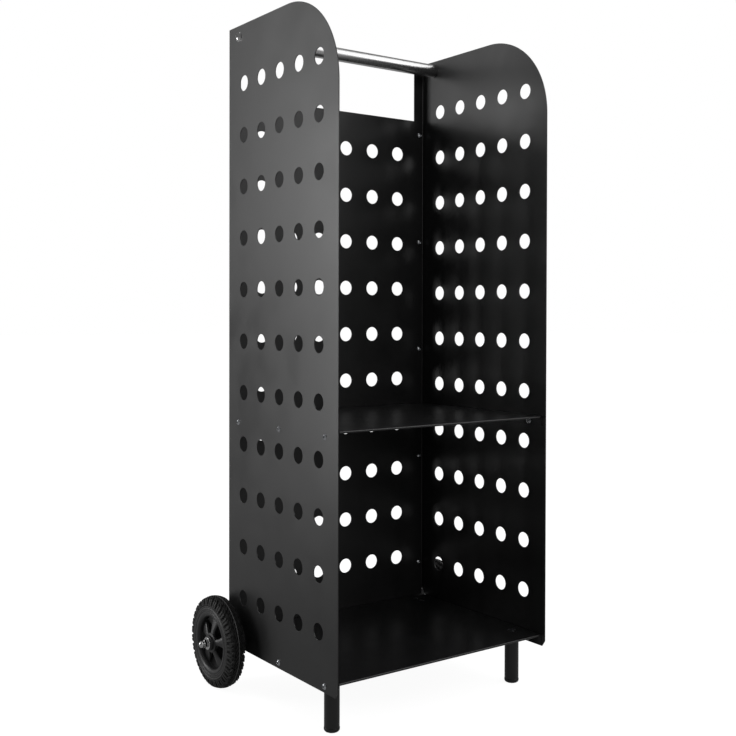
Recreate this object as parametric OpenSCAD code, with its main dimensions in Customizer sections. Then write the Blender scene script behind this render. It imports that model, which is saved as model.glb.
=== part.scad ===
// Fireside cart of folded, perforated sheet steel on two wheels and two tube feet.
// +Z is up, the open front faces -Y, and z = 0 is the floor. The origin is the middle of
// the footprint, so x = 0 halves the cart and y = 0 halves its length with the wheels.

/* [Cabinet] */
// Width over the two side panels
cart_w = 444; // [400:1:520]
// Depth of a side panel from front edge to rear edge
panel_d = 350; // [340:1:380]
// Height of a side panel
panel_h = 1094; // [1060:1:1140]
// Height of the panels' lower edge above the floor
floor_gap = 72; // [70:1:78]
// Thickness of the folded sheet
sheet_t = 1.5; // [1.2:0.1:2]
// Inside radius of every bend
bend_r = 1.5; // [1:0.5:2.5]
// Width of the flange turned in along a side panel's rear edge
flange_w = 24; // [22:1:30]
// Radius of the quarter circle that rounds a side panel's front top corner
crown_r = 150; // [110:1:152]
// Depth of the small cut on a side panel's front lower corner
toe_d = 7; // [4:1:10]
// Height of that cut
toe_h = 10; // [5:1:14]

/* [Perforation] */
// Diameter of a perforation
perf_d = 27; // [20:1:30]
// Spacing of the rows on the sides
row_pitch = 90; // [88:1:92]
// Spacing of the columns on the sides
col_pitch = 60; // [50:1:62]
// Columns on a side panel
side_cols = 5; // [3:1:5]
// Top edge of a side panel to the centres of its first row
row_top = 103; // [90:1:110]
// Spacing of the rows on the back panel
back_row_pitch = 89.5; // [80:0.5:100]
// Spacing of the columns on the back panel
back_col_pitch = 62; // [50:1:64]
// Columns on the back panel
back_cols = 6; // [3:1:6]
// Top edge of the back panel to the centres of its first row
back_row_top = 70; // [50:1:80]

/* [Shelves and back] */
// Height of the upper shelf's deck above the floor
upper_deck = 481; // [430:1:510]
// Height of the bottom shelf's deck above the panels' lower edge
bottom_rise = 21; // [20:1:27]
// Height of a shelf's side flanges
shelf_lip = 18; // [16:1:22]
// Distance from the panels' front edge to a shelf's front edge
shelf_setback = 7; // [4:1:20]
// Outside radius of the hem folded under a shelf's front and rear edges
hem_r = 2; // [1.8:0.1:3]
// Depth of the hem's returned leg
hem_leg = 12; // [8:1:16]
// Drop of the back panel's top edge below the side panels' top edge
back_drop = 116; // [90:1:150]
// Corner radius of the back panel
back_corner_r = 6; // [2:1:10]

/* [Handle and feet] */
// Outside diameter of the handle and foot tubes
tube_d = 25; // [22:1:28]
// Wall of the tubes
tube_wall = 1.5; // [1:0.25:2]
// Handle axis below the side panels' top edge
handle_drop = 19; // [14:1:24]
// Handle axis ahead of the side panels' rear edge
handle_back = 36; // [24:1:44]
// Foot axis behind the side panels' front edge
foot_in_y = 57; // [52:1:70]
// Foot axis inside a side panel's outer face
foot_in_x = 27.5; // [24:0.5:40]
// Height of the foot cap's lip
cap_lip_h = 7; // [5:1:10]

/* [Wheels] */
// Tyre diameter
wheel_d = 160; // [154:2:166]
// Width of tyre and rim
wheel_w = 32; // [30:1:40]
// Gap from a side panel to the tyre
wheel_gap = 10; // [8:1:16]
// Axle ahead of the side panels' rear edge
axle_back = 9; // [9:1:14]
// Axle diameter
axle_d = 12; // [10:1:12]
// Thread diameter of the axle's stepped ends
axle_end_d = 8; // [6:1:8]
// Radius of the tyre's rounded crown across its width
tread_r = 26; // [24:1:60]
// Lugs round each edge of the tread
lug_count = 48; // [24:4:52]
// Depth of the gaps between lugs
lug_depth = 2; // [1:0.5:3]
// Width of the gaps between the blocks of the tread
lug_gap = 3; // [2:0.5:4]
// Width of the gaps between the shoulder lugs
shoulder_gap = 4; // [2:0.5:5]
// Width of the rib round the middle of the tread
rib_w = 5; // [3:1:8]
// Width of the block row on each side of the rib
block_w = 6; // [4:1:7]
// Overlap of the block row and the shoulder lugs
lug_lap = 1; // [0:0.5:2]
// Spokes of a rim
spoke_count = 5; // [3:1:7]
// Turn of the wheels at rest, from a window straight up toward the rear
wheel_turn = 30; // [-36:1:36]
// Width of a spoke at the hub
spoke_in_w = 8; // [6:1:12]
// Width of a spoke at the rim
spoke_out_w = 20; // [12:1:24]
// Radius of the rim's lip
lip_r = 57; // [54:1:60]
// Radius of the hub
hub_r = 13; // [12:1:16]

/* [Fasteners] */
// Thread diameter of the sheet screws
screw_d = 6; // [5:1:6]
// Head diameter of a sheet screw
screw_head_d = 10.5; // [9:0.5:12]
// Head height of a sheet screw
screw_head_h = 3.3; // [2.5:0.1:4]
// Screws of a shelf end lie this far apart
screw_step = 138; // [110:1:140]
// Screw axis below a shelf's deck
screw_drop = 11; // [9:1:12]
// Spacing of the back panel's screws
back_screw_step = 216; // [180:1:220]
// First back panel screw below the back panel's top edge
back_screw_top = 28; // [20:1:40]
// Thread diameter of the handle bolts and foot screws
bolt_d = 8; // [6:1:8]
// Head diameter of a handle bolt
dome_d = 17.5; // [14:0.5:20]
// Head height of a handle bolt
dome_h = 5; // [4:0.5:6]

/* [Hidden] */
$fn = 96;

// clearances
cut = 1;            // how far a cutter runs past what it cuts
hole_play = 0.4;    // screw hole over screw
bore_play = 0.1;    // nut or insert bore over its screw
run_play = 0.1;     // bush bore over axle, on the diameter
side_play = 0.4;    // free space at each end of a hub
panel_play = 2;     // back panel's edge to the side panel
axle_clear = 2.3;   // cut corner of a side panel to the axle's spacer

// planes of the cabinet
half_w = cart_w / 2;
wheel_r = wheel_d / 2;
front_y = -(panel_d + wheel_r - axle_back) / 2;
rear_y = front_y + panel_d;
mid_y = front_y + panel_d / 2;
top_z = floor_gap + panel_h;
inner_x = half_w - sheet_t;
bend_out = bend_r + sheet_t;
bottom_deck = floor_gap + bottom_rise;
shelf_front = front_y + shelf_setback;
back_face_y = rear_y - 2 * sheet_t;
shelf_rear = back_face_y - 1;
back_top = top_z - back_drop;
back_bottom = bottom_deck - 2;
back_w = 2 * (inner_x - panel_play);
back_screw_x = inner_x - 10;

// perforation rows and screw places
row_end = 80;         // least distance from a side panel's last row to its lower edge
back_row_end = 60;    // least distance from the back panel's last row to the bottom deck
back_screw_end = 30;  // the same for its last screw
side_rows = floor((panel_h - row_top - row_end) / row_pitch) + 1;
back_rows = floor((back_top - back_row_top - bottom_deck - back_row_end) / back_row_pitch) + 1;
back_screws = floor((back_top - back_screw_top - bottom_deck - back_screw_end) / back_screw_step) + 1;
screw_ys = [for (i = [-1:1]) mid_y + i * screw_step];

// screws, nuts and bolts
screw_l = 2 * sheet_t + 6.5;
screw_key = 4;
nut_across = 10;
sheet_nut_h = 5;
bolt_key = 5;
handle_bolt_l = 20;
handle_plug_l = 22;
foot_bolt_l = 18;
foot_plug_l = 18;
bracket_bolt_l = 12;
flush_land = 0.4;   // straight edge above the cone of a countersunk head
seat_play = 0.2;    // countersink round such a head

// handle, feet and axle
handle_y = rear_y - handle_back;
handle_z = top_z - handle_drop;
tube_bore = tube_d - 2 * tube_wall;
foot_x = half_w - foot_in_x;
foot_y = front_y + foot_in_y;
foot_top = bottom_deck - sheet_t;
axle_y = rear_y - axle_back;
axle_z = wheel_r;

// stations along the axle, counted outward from x = 0
web_x = half_w - 16;
web_t = 3;
hub_in = half_w + wheel_gap - 2;
hub_out = half_w + wheel_gap + wheel_w + 3;
washer_t = 2.2;
washer_r = 12;
end_washer_r = 11;
spacer_r = 9;
wheel_x = half_w + wheel_gap + wheel_w / 2;
nut_x = hub_out + side_play + washer_t;
nut_h = 6.5;
nut_r = 6.5 / cos(30);
nut_neck_r = 6.25;
nut_neck_z = 8.9;
nut_dome_r = 6.1;
nut_dome_h = 6.05;   // the dome ends in a tiny flat
thread_in = 10;

// wheel section
bead_r = lip_r;
rim_seat_r = bead_r - 4;
barrel_r = rim_seat_r - 4;
lip_t = 2;
crown_mid = wheel_r - tread_r;
face_r = crown_mid + sqrt(tread_r * tread_r - pow(wheel_w / 2, 2));
bush_r = axle_d / 2 + 2;

// the axle's spacer passes this cut corner of the side panels and the bottom shelf
heel_cut = axle_back + wheel_r - floor_gap + (spacer_r + axle_clear) * sqrt(2);

// bracket outline
web_eye_r = 11;
leg_front = rear_y - 52;
leg_rear = rear_y - 20;
leg_in = 34;
bracket_hole_ys = [leg_front + 8, leg_rear - 8];
bracket_hole_x = web_x - 20;
notch_w = half_w - web_x + web_t + 3;   // width of the bottom shelf's cut rear corners

// ---------- shared shapes ----------

// places children at x = 0 on both sides, the right one mirrored
module both_sides() {
  children();
  mirror([1, 0, 0]) children();
}

// turns a shape drawn in (y, z) so that it is extruded along x from 0 to w
module along_x(w) {
  rotate([90, 0, 90]) linear_extrude(w) children();
}

// turns a shape drawn in (x, z) so that it is extruded along y from y0 to y1
module along_y(y0, y1) {
  translate([0, y1, 0]) rotate([90, 0, 0]) linear_extrude(y1 - y0) children();
}

// round hole or bar along x, centred on x
module bar_x(d, x0, x1, y, z) {
  translate([x0, y, z]) rotate([0, 90, 0]) cylinder(d = d, h = x1 - x0);
}

// right-angle fold in plan: legs run along +x (length a) and -y (length b) from the corner
module folded_corner(a, b) {
  difference() {
    union() {
      translate([0, -sheet_t]) square([a, sheet_t]);
      translate([0, -b]) square([sheet_t, b]);
      translate([0, -bend_out]) square(bend_out);
    }
    difference() {
      translate([-cut, -bend_out]) square([bend_out + cut, bend_out + cut]);
      translate([bend_out, -bend_out]) circle(bend_out);
    }
    translate([bend_out, -bend_out]) circle(bend_r);
  }
}

// convex outline whose corners are arcs of radius r about the given centres, anticlockwise
module rounded_outline(centres, r) {
  n = len(centres);
  polygon([
    for (i = [0:n - 1], k = [0, 1])
      let (a = centres[(i + k + n - 1) % n], b = centres[(i + k) % n], d = b - a)
        centres[i] + r * [d[1], -d[0]] / norm(d)
  ]);
  for (c = centres) translate(c) circle(r);
}

// domed screw along +z: the head's flat underside is at z = 0, the shank runs down
module domed_screw(d, shank, head_d, head_h, key) {
  sphere_r = (head_d * head_d / 4 + head_h * head_h) / (2 * head_h);
  difference() {
    intersection() {
      cylinder(d = head_d, h = head_h);
      translate([0, 0, head_h - sphere_r]) sphere(sphere_r);
    }
    translate([0, 0, head_h * 0.45]) cylinder(d = key, h = head_h, $fn = 6);
  }
  translate([0, 0, -shank]) cylinder(d = d, h = shank);
}

// countersunk screw along +z: its flat head, twice as wide as the shank, ends at z = 0
module flush_screw(d, shank, key) {
  difference() {
    union() {
      translate([0, 0, -flush_land]) cylinder(d = 2 * d, h = flush_land);
      translate([0, 0, -flush_land - d / 2]) cylinder(d1 = d, d2 = 2 * d, h = d / 2);
      translate([0, 0, -shank]) cylinder(d = d, h = shank);
    }
    translate([0, 0, -d * 0.3]) cylinder(d = key, h = d, $fn = 6);
  }
}

// the countersink that such a screw lies in
module screw_seat(d) {
  play = 2 * seat_play;
  translate([0, 0, -flush_land]) cylinder(d = 2 * d + play, h = flush_land + cut);
  translate([0, 0, -flush_land - d / 2]) cylinder(d1 = d + play, d2 = 2 * d + play, h = d / 2);
}

// hexagon nut along +z from z = 0
module hex_nut(d, across, h) {
  difference() {
    cylinder(d = across / cos(30), h = h, $fn = 6);
    translate([0, 0, -cut]) cylinder(d = d + bore_play, h = h + 2 * cut);
  }
}

// ---------- cabinet ----------

// side elevation of a panel: quarter round front top corner, small toe cut, heel cut for the axle
module side_outline() {
  difference() {
    translate([front_y, floor_gap]) square([panel_d, panel_h]);
    difference() {
      translate([front_y - cut, top_z - crown_r]) square(crown_r + cut);
      translate([front_y + crown_r, top_z - crown_r]) circle(crown_r, $fn = 180);
    }
    polygon([[front_y - cut, floor_gap - cut], [front_y + toe_d, floor_gap - cut],
             [front_y + toe_d, floor_gap], [front_y, floor_gap + toe_h],
             [front_y - cut, floor_gap + toe_h]]);
    heel_outline();
  }
}

// what is cut off the rear lower corner for the axle
module heel_outline() {
  polygon([[rear_y - heel_cut - cut, floor_gap - cut], [rear_y + cut, floor_gap - cut],
           [rear_y + cut, floor_gap + heel_cut + cut]]);
}

// left panel; its outer face lies at x = -half_w
module side_panel() {
  difference() {
    intersection() {
      translate([-half_w, rear_y, floor_gap]) linear_extrude(panel_h) folded_corner(flange_w, panel_d);
      translate([-half_w - cut, 0, 0]) along_x(flange_w + 2 * cut) side_outline();
    }
    for (c = [0:side_cols - 1], r = [0:side_rows - 1])
      bar_x(perf_d, -half_w - cut, -inner_x + cut,
            mid_y + (c - (side_cols - 1) / 2) * col_pitch, top_z - row_top - r * row_pitch);
    for (y = screw_ys, z = [upper_deck, bottom_deck])
      bar_x(screw_d + hole_play, -half_w - cut, -inner_x + cut, y, z - screw_drop);
    bar_x(bolt_d + hole_play, -half_w - cut, -inner_x + cut, handle_y, handle_z);
    back_screw_holes();
  }
}

// clearance holes through back panel and flange
module back_screw_holes() {
  for (i = [0:back_screws - 1])
    translate([-back_screw_x, rear_y + cut, back_top - back_screw_top - i * back_screw_step])
      rotate([90, 0, 0]) cylinder(d = screw_d + hole_play, h = 2 * sheet_t + 2 * cut);
}

module left_side_panel() {
  color("#262729") side_panel();
}

module right_side_panel() {
  color("#262729") mirror([1, 0, 0]) side_panel();
}

module back_panel() {
  corner_x = back_w / 2 - back_corner_r;
  corner_z0 = back_bottom + back_corner_r;
  corner_z1 = back_top - back_corner_r;
  color("#1f2022") difference() {
    along_y(back_face_y, back_face_y + sheet_t)
      rounded_outline([[-corner_x, corner_z0], [corner_x, corner_z0],
                       [corner_x, corner_z1], [-corner_x, corner_z1]], back_corner_r);
    for (c = [0:back_cols - 1], r = [0:back_rows - 1])
      translate([(c - (back_cols - 1) / 2) * back_col_pitch, rear_y,
                 back_top - back_row_top - r * back_row_pitch])
        rotate([90, 0, 0]) cylinder(d = perf_d, h = 2 * sheet_t + cut);
    both_sides() back_screw_holes();
  }
}

// hem under an edge at y = 0 with the shelf toward +y: a half ring and its returned leg
module hem_section() {
  difference() {
    translate([hem_r, -hem_r]) circle(hem_r);
    translate([hem_r, -hem_r]) circle(hem_r - sheet_t);
    translate([hem_r, -2 * hem_r - cut]) square(2 * hem_r + 2 * cut);
  }
  translate([hem_r, -2 * hem_r]) square([hem_leg, sheet_t]);
}

// tray with its deck's top at z: side flanges turned down, front and rear edges hemmed
module shelf(z) {
  hem_w = 2 * (inner_x - 2 * bend_out);
  difference() {
    union() {
      both_sides() along_y(shelf_front + hem_r, shelf_rear - hem_r)
        translate([-inner_x, z]) folded_corner(inner_x, shelf_lip);
      translate([-hem_w / 2, shelf_front, z]) along_x(hem_w) hem_section();
      mirror([0, 1, 0]) translate([-hem_w / 2, -shelf_rear, z]) along_x(hem_w) hem_section();
    }
    for (y = screw_ys)
      bar_x(screw_d + hole_play, -half_w, half_w, y, z - screw_drop);
  }
}

module upper_shelf() {
  color("#242527") shelf(upper_deck);
}

module bottom_shelf() {
  color("#242527") difference() {
    shelf(bottom_deck);
    both_sides() {
      translate([-half_w, 0, 0]) along_x(notch_w) heel_outline();
      translate([-foot_x, foot_y, bottom_deck]) screw_seat(bolt_d);
      for (y = bracket_hole_ys) translate([-bracket_hole_x, y, bottom_deck]) screw_seat(screw_d);
    }
  }
}

// ---------- handle ----------

module handle_tube() {
  color("#c9cacc") difference() {
    bar_x(tube_d, -inner_x, inner_x, handle_y, handle_z);
    bar_x(tube_bore, -inner_x - cut, inner_x + cut, handle_y, handle_z);
  }
}

// threaded plugs in the tube's ends
module handle_inserts() {
  color("#9a9c9f") both_sides() difference() {
    bar_x(tube_bore, -inner_x, -inner_x + handle_plug_l, handle_y, handle_z);
    bar_x(bolt_d + bore_play, -inner_x - cut, -inner_x + handle_plug_l + cut, handle_y, handle_z);
  }
}

module handle_bolts() {
  color("#d2d3d5") both_sides()
    translate([-half_w, handle_y, handle_z]) rotate([0, -90, 0])
      domed_screw(bolt_d, handle_bolt_l, dome_d, dome_h, bolt_key);
}

// ---------- feet ----------

module foot_tube() {
  translate([-foot_x, foot_y, cap_lip_h]) difference() {
    cylinder(d = tube_d, h = foot_top - cap_lip_h);
    translate([0, 0, -cut]) cylinder(d = tube_bore, h = foot_top + 2 * cut);
  }
}

// plastic end cap: a rounded lip under the tube and a hollow plug inside it
module foot_cap() {
  lip_out = tube_d / 2 + 0.4;
  edge_r = 4.5;
  plug_h = 16;
  plug_wall = 2;
  translate([-foot_x, foot_y, 0]) {
    rotate_extrude() {
      square([lip_out - edge_r, cap_lip_h]);
      translate([0, edge_r]) square([lip_out, cap_lip_h - edge_r]);
      intersection() {
        translate([lip_out - edge_r, edge_r]) circle(edge_r);
        square([lip_out, edge_r]);
      }
    }
    translate([0, 0, cap_lip_h]) difference() {
      cylinder(d = tube_bore, h = plug_h);
      cylinder(d = tube_bore - 2 * plug_wall, h = plug_h + cut);
    }
  }
}

module left_foot_tube() {
  color("#202123") foot_tube();
}

module right_foot_tube() {
  color("#202123") mirror([1, 0, 0]) foot_tube();
}

module left_foot_cap() {
  color("#161617") foot_cap();
}

module right_foot_cap() {
  color("#161617") mirror([1, 0, 0]) foot_cap();
}

module foot_inserts() {
  color("#9a9c9f") both_sides() translate([-foot_x, foot_y, foot_top - foot_plug_l]) difference() {
    cylinder(d = tube_bore, h = foot_plug_l);
    translate([0, 0, -cut]) cylinder(d = bolt_d + bore_play, h = foot_plug_l + 2 * cut);
    translate([0, 0, foot_plug_l + sheet_t]) screw_seat(bolt_d);
  }
}

module foot_bolts() {
  color("#b4b6b9") both_sides() translate([-foot_x, foot_y, bottom_deck])
    flush_screw(bolt_d, foot_bolt_l, bolt_key);
}

// ---------- axle and its brackets ----------

// point where the line from p touches the circle about c, on the side given by s
function tangent_point(p, c, r, s) =
  let (d = p - c, a = atan2(d[1], d[0]) + s * acos(r / norm(d)))
    c + r * [cos(a), sin(a)];

// side elevation of a bracket's web: an eye for the axle below a tapering plate
module web_outline() {
  eye = [axle_y, axle_z];
  toe = [leg_front, foot_top - bend_out];
  web_top = foot_top - 4;
  difference() {
    union() {
      translate(eye) circle(web_eye_r);
      polygon([toe, tangent_point(toe, eye, web_eye_r, 1), eye, [axle_y + web_eye_r, axle_z],
               [axle_y + web_eye_r, web_top], [leg_rear, web_top], [leg_rear, foot_top - bend_out]]);
    }
    translate(eye) circle(d = axle_d + 0.2);
  }
}

// folded steel bracket under the bottom shelf: a bolted leg and a web that carries the axle
module axle_bracket() {
  difference() {
    union() {
      translate([-web_x, 0, 0]) along_x(web_t) web_outline();
      along_y(leg_front, leg_rear) bracket_fold();
    }
    for (y = bracket_hole_ys) {
      translate([-bracket_hole_x, y, foot_top - web_t - cut])
        cylinder(d = screw_d + hole_play, h = web_t + 2 * cut);
      translate([-bracket_hole_x, y, bottom_deck]) screw_seat(screw_d);
    }
  }
}

// the bracket's fold in (x, z): top leg, bend and the head of the web
module bracket_fold() {
  fold_r = web_t + bend_r;
  difference() {
    union() {
      translate([-web_x, foot_top - web_t]) square([leg_in, web_t]);
      translate([-web_x, foot_top - fold_r - cut]) square([web_t, fold_r + cut]);
      translate([-web_x, foot_top - fold_r]) square(fold_r);
    }
    difference() {
      translate([-web_x - cut, foot_top - fold_r]) square(fold_r + cut);
      translate([-web_x + fold_r, foot_top - fold_r]) circle(fold_r);
    }
    translate([-web_x + fold_r, foot_top - fold_r]) circle(bend_r);
  }
}

module left_axle_bracket() {
  color("#232426") axle_bracket();
}

module right_axle_bracket() {
  color("#232426") mirror([1, 0, 0]) axle_bracket();
}

module bracket_bolts() {
  color("#b4b6b9") both_sides() for (y = bracket_hole_ys)
    translate([-bracket_hole_x, y, bottom_deck])
      flush_screw(screw_d, bracket_bolt_l, screw_key);
}

module bracket_nuts() {
  color("#b4b6b9") both_sides() for (y = bracket_hole_ys)
    translate([-bracket_hole_x, y, foot_top - web_t - sheet_nut_h])
      hex_nut(screw_d, nut_across, sheet_nut_h);
}

// its shoulders hold the outer washers just clear of the hubs
module axle_rod() {
  end_x = nut_x + thread_in;
  shoulder_x = hub_out + side_play;
  color("#c4c6c8") {
    bar_x(axle_end_d, -end_x, end_x, axle_y, axle_z);
    bar_x(axle_d, -shoulder_x, shoulder_x, axle_y, axle_z);
  }
}

// ring on the axle between two stations on the left side
module axle_ring(outer_r, bore, x0, x1) {
  difference() {
    bar_x(2 * outer_r, -x1, -x0, axle_y, axle_z);
    bar_x(bore, -x1 - cut, -x0 + cut, axle_y, axle_z);
  }
}

module axle_spacers() {
  color("#aeb0b3") both_sides()
    axle_ring(spacer_r, axle_d + bore_play, web_x, hub_in - side_play - washer_t);
}

module inner_washers() {
  color("#c4c6c8") both_sides()
    axle_ring(washer_r, axle_d + bore_play, hub_in - side_play - washer_t, hub_in - side_play);
}

module outer_washers() {
  color("#c4c6c8") both_sides()
    axle_ring(end_washer_r, axle_end_d + bore_play, hub_out + side_play, nut_x);
}

// domed nut on the axle's end: a hexagon with a rounded cap and a blind bore
module cap_nuts() {
  color("#d2d3d5") both_sides() translate([-nut_x, axle_y, axle_z]) rotate([0, -90, 0])
    difference() {
      union() {
        cylinder(r = nut_r, h = nut_h, $fn = 6);
        cylinder(r = nut_neck_r, h = nut_neck_z);
        translate([0, 0, nut_neck_z]) intersection() {
          sphere(nut_dome_r);
          cylinder(r = nut_neck_r, h = nut_dome_h);
        }
      }
      translate([0, 0, -cut]) cylinder(d = axle_end_d + bore_play, h = thread_in + 0.5 + cut);
    }
}

// ---------- wheels, drawn about +z with z = 0 in the middle and +z outward ----------

// puts a wheel piece on the left end of the axle
module on_left_axle() {
  translate([-wheel_x, axle_y, axle_z]) rotate([0, -90, 0]) children();
}

// half section of the tyre: rounded crown, flat sidewalls with a ring groove, bead seat
module tyre_section() {
  w = wheel_w / 2;
  ring_r = (bead_r + face_r) / 2;
  ring_depth = 0.8;
  difference() {
    intersection() {
      union() {
        translate([crown_mid, 0]) circle(tread_r);
        translate([rim_seat_r, -w]) square([face_r - rim_seat_r, 2 * w]);
      }
      translate([rim_seat_r, -w]) square([wheel_r, 2 * w]);
    }
    // seats of the rim's lips
    for (s = [0, 1]) mirror([0, s]) {
      translate([rim_seat_r - cut, w - lip_t]) square([bead_r - rim_seat_r + cut, lip_t + cut]);
      translate([ring_r, w]) circle(ring_depth, $fn = 24);
    }
  }
}

// gaps between the lugs of one band, from z0 outward: each one's floor drops from r0 to r1 over the length
module lug_slots(gap, z0, length, r0, r1, phase) {
  fall = atan2(r0 - r1, length);
  for (i = [0:lug_count - 1])
    rotate((i + phase) * 360 / lug_count)
      translate([r0, -gap / 2, z0]) rotate([0, -fall, 0]) cube([wheel_r, gap, length / cos(fall)]);
}

// tread of four bands: blocks beside the middle rib, lugs over each shoulder, staggered
module tyre() {
  block_z = rib_w / 2;
  shoulder_z = block_z + block_w - lug_lap;
  shoulder_l = wheel_w / 2 + 1 - shoulder_z;
  floor_r = wheel_r - lug_depth - 1;
  difference() {
    rotate_extrude($fn = 180) tyre_section();
    for (s = [0, 1]) mirror([0, 0, s]) {
      lug_slots(lug_gap, block_z, block_w, floor_r, floor_r, s / 2);
      lug_slots(shoulder_gap, shoulder_z, shoulder_l, floor_r, face_r - lug_depth, (s + 1) / 2);
    }
  }
}

// half section of the rim: barrel, lips over the tyre's beads, dished web and hub
module rim_section() {
  w = wheel_w / 2;
  at_hub = [9, 15];      // inner and outer face of the web at the hub
  at_barrel = [1, 6];    // and at the barrel
  translate([barrel_r, -w]) square([rim_seat_r - barrel_r, 2 * w]);
  for (s = [0, 1]) mirror([0, s]) translate([barrel_r, w - lip_t]) square([bead_r - barrel_r, lip_t]);
  polygon([[hub_r - 1, at_hub[1]], [barrel_r + 1, at_barrel[1]],
           [barrel_r + 1, at_barrel[0]], [hub_r - 1, at_hub[0]]]);
  translate([bush_r, hub_in - wheel_x]) square([hub_r - bush_r, hub_out - hub_in]);
}

// centre of a window's corner at radius r, beside a spoke of width spoke_w there
function window_corner(r, spoke_w, corner_r) =
  let (a = 180 / spoke_count - asin((spoke_w / 2 + corner_r) / r)) r * [cos(a), sin(a)];

// direction square to the edge from a to b, to its right
function edge_normal(a, b) = atan2(a[0] - b[0], b[1] - a[1]);

// outline round the given centres, anticlockwise, each corner an arc of radius r in short chords
module chord_outline(centres, r, chords) {
  n = len(centres);
  polygon([
    for (i = [0:n - 1])
      let (a0 = edge_normal(centres[(i + n - 1) % n], centres[i]),
           a1 = edge_normal(centres[i], centres[(i + 1) % n]),
           turn = (a1 - a0 + 360) % 360)
        for (k = [0:chords]) let (a = a0 + turn * k / chords) centres[i] + r * [cos(a), sin(a)]
  ]);
}

// window between two spokes, which widen from the hub to the rim
module spoke_window() {
  corner_r = 3;
  in_c = window_corner(hub_r + 6, spoke_in_w, corner_r);
  out_c = window_corner(barrel_r - 1 - corner_r, spoke_out_w, corner_r);
  mid_c = [norm(out_c), 0];
  chord_outline([[in_c[0], -in_c[1]], [out_c[0], -out_c[1]], mid_c, out_c, in_c], corner_r, 4);
}

// dished wheel body with a rib behind each spoke
module rim() {
  rib_t = 3;
  rib_z = [-9, 4];
  rotate(wheel_turn) difference() {
    union() {
      rotate_extrude($fn = 180) rim_section();
      for (i = [0:spoke_count - 1])
        rotate((i + 0.5) * 360 / spoke_count)
          translate([hub_r - 1, -rib_t / 2, rib_z[0]])
            cube([barrel_r - hub_r + 2, rib_t, rib_z[1] - rib_z[0]]);
    }
    for (i = [0:spoke_count - 1])
      rotate(i * 360 / spoke_count) translate([0, 0, -wheel_w / 2])
        linear_extrude(wheel_w) spoke_window();
  }
}

// sleeve pressed into the hub; the axle runs in it
module hub_bush() {
  translate([0, 0, hub_in - wheel_x]) difference() {
    cylinder(r = bush_r, h = hub_out - hub_in);
    translate([0, 0, -cut]) cylinder(d = axle_d + run_play, h = hub_out - hub_in + 2 * cut);
  }
}

module left_tyre() {
  color("#1c1c1d") on_left_axle() tyre();
}

module left_rim() {
  color("#29292b") on_left_axle() rim();
}

module left_hub_bush() {
  color("#8d8f92") on_left_axle() hub_bush();
}

module right_tyre() {
  color("#1c1c1d") mirror([1, 0, 0]) on_left_axle() tyre();
}

module right_rim() {
  color("#29292b") mirror([1, 0, 0]) on_left_axle() rim();
}

module right_hub_bush() {
  color("#8d8f92") mirror([1, 0, 0]) on_left_axle() hub_bush();
}

// ---------- sheet screws and nuts ----------

// the three screws at each end of the shelf whose deck is at z; heads outside
module shelf_screws(z) {
  both_sides() for (y = screw_ys)
    translate([-half_w, y, z - screw_drop]) rotate([0, -90, 0])
      domed_screw(screw_d, screw_l, screw_head_d, screw_head_h, screw_key);
}

module shelf_nuts(z) {
  both_sides() for (y = screw_ys)
    translate([-inner_x + sheet_t, y, z - screw_drop]) rotate([0, 90, 0])
      hex_nut(screw_d, nut_across, sheet_nut_h);
}

module upper_shelf_screws() {
  color("#b4b6b9") shelf_screws(upper_deck);
}

module upper_shelf_nuts() {
  color("#b4b6b9") shelf_nuts(upper_deck);
}

module bottom_shelf_screws() {
  color("#b4b6b9") shelf_screws(bottom_deck);
}

module bottom_shelf_nuts() {
  color("#b4b6b9") shelf_nuts(bottom_deck);
}

// the back panel's screws: heads in front of the panel, nuts behind the flanges
module at_back_screws(y) {
  both_sides() for (i = [0:back_screws - 1])
    translate([-back_screw_x, y, back_top - back_screw_top - i * back_screw_step]) children();
}

module back_panel_screws() {
  color("#b4b6b9") at_back_screws(back_face_y) rotate([90, 0, 0])
    domed_screw(screw_d, screw_l, screw_head_d, screw_head_h, screw_key);
}

module back_panel_nuts() {
  color("#b4b6b9") at_back_screws(rear_y) rotate([-90, 0, 0])
    hex_nut(screw_d, nut_across, sheet_nut_h);
}

left_side_panel();
right_side_panel();
back_panel();
upper_shelf();
bottom_shelf();
handle_tube();
handle_inserts();
handle_bolts();
left_foot_tube();
right_foot_tube();
left_foot_cap();
right_foot_cap();
foot_inserts();
foot_bolts();
left_axle_bracket();
right_axle_bracket();
bracket_bolts();
bracket_nuts();
axle_rod();
axle_spacers();
inner_washers();
outer_washers();
cap_nuts();
left_tyre();
left_rim();
left_hub_bush();
right_tyre();
right_rim();
right_hub_bush();
upper_shelf_screws();
upper_shelf_nuts();
bottom_shelf_screws();
bottom_shelf_nuts();
back_panel_screws();
back_panel_nuts();
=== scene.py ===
import math

import bpy
import numpy as np
from mathutils import Euler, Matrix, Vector
from mathutils.geometry import delaunay_2d_cdt


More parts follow.
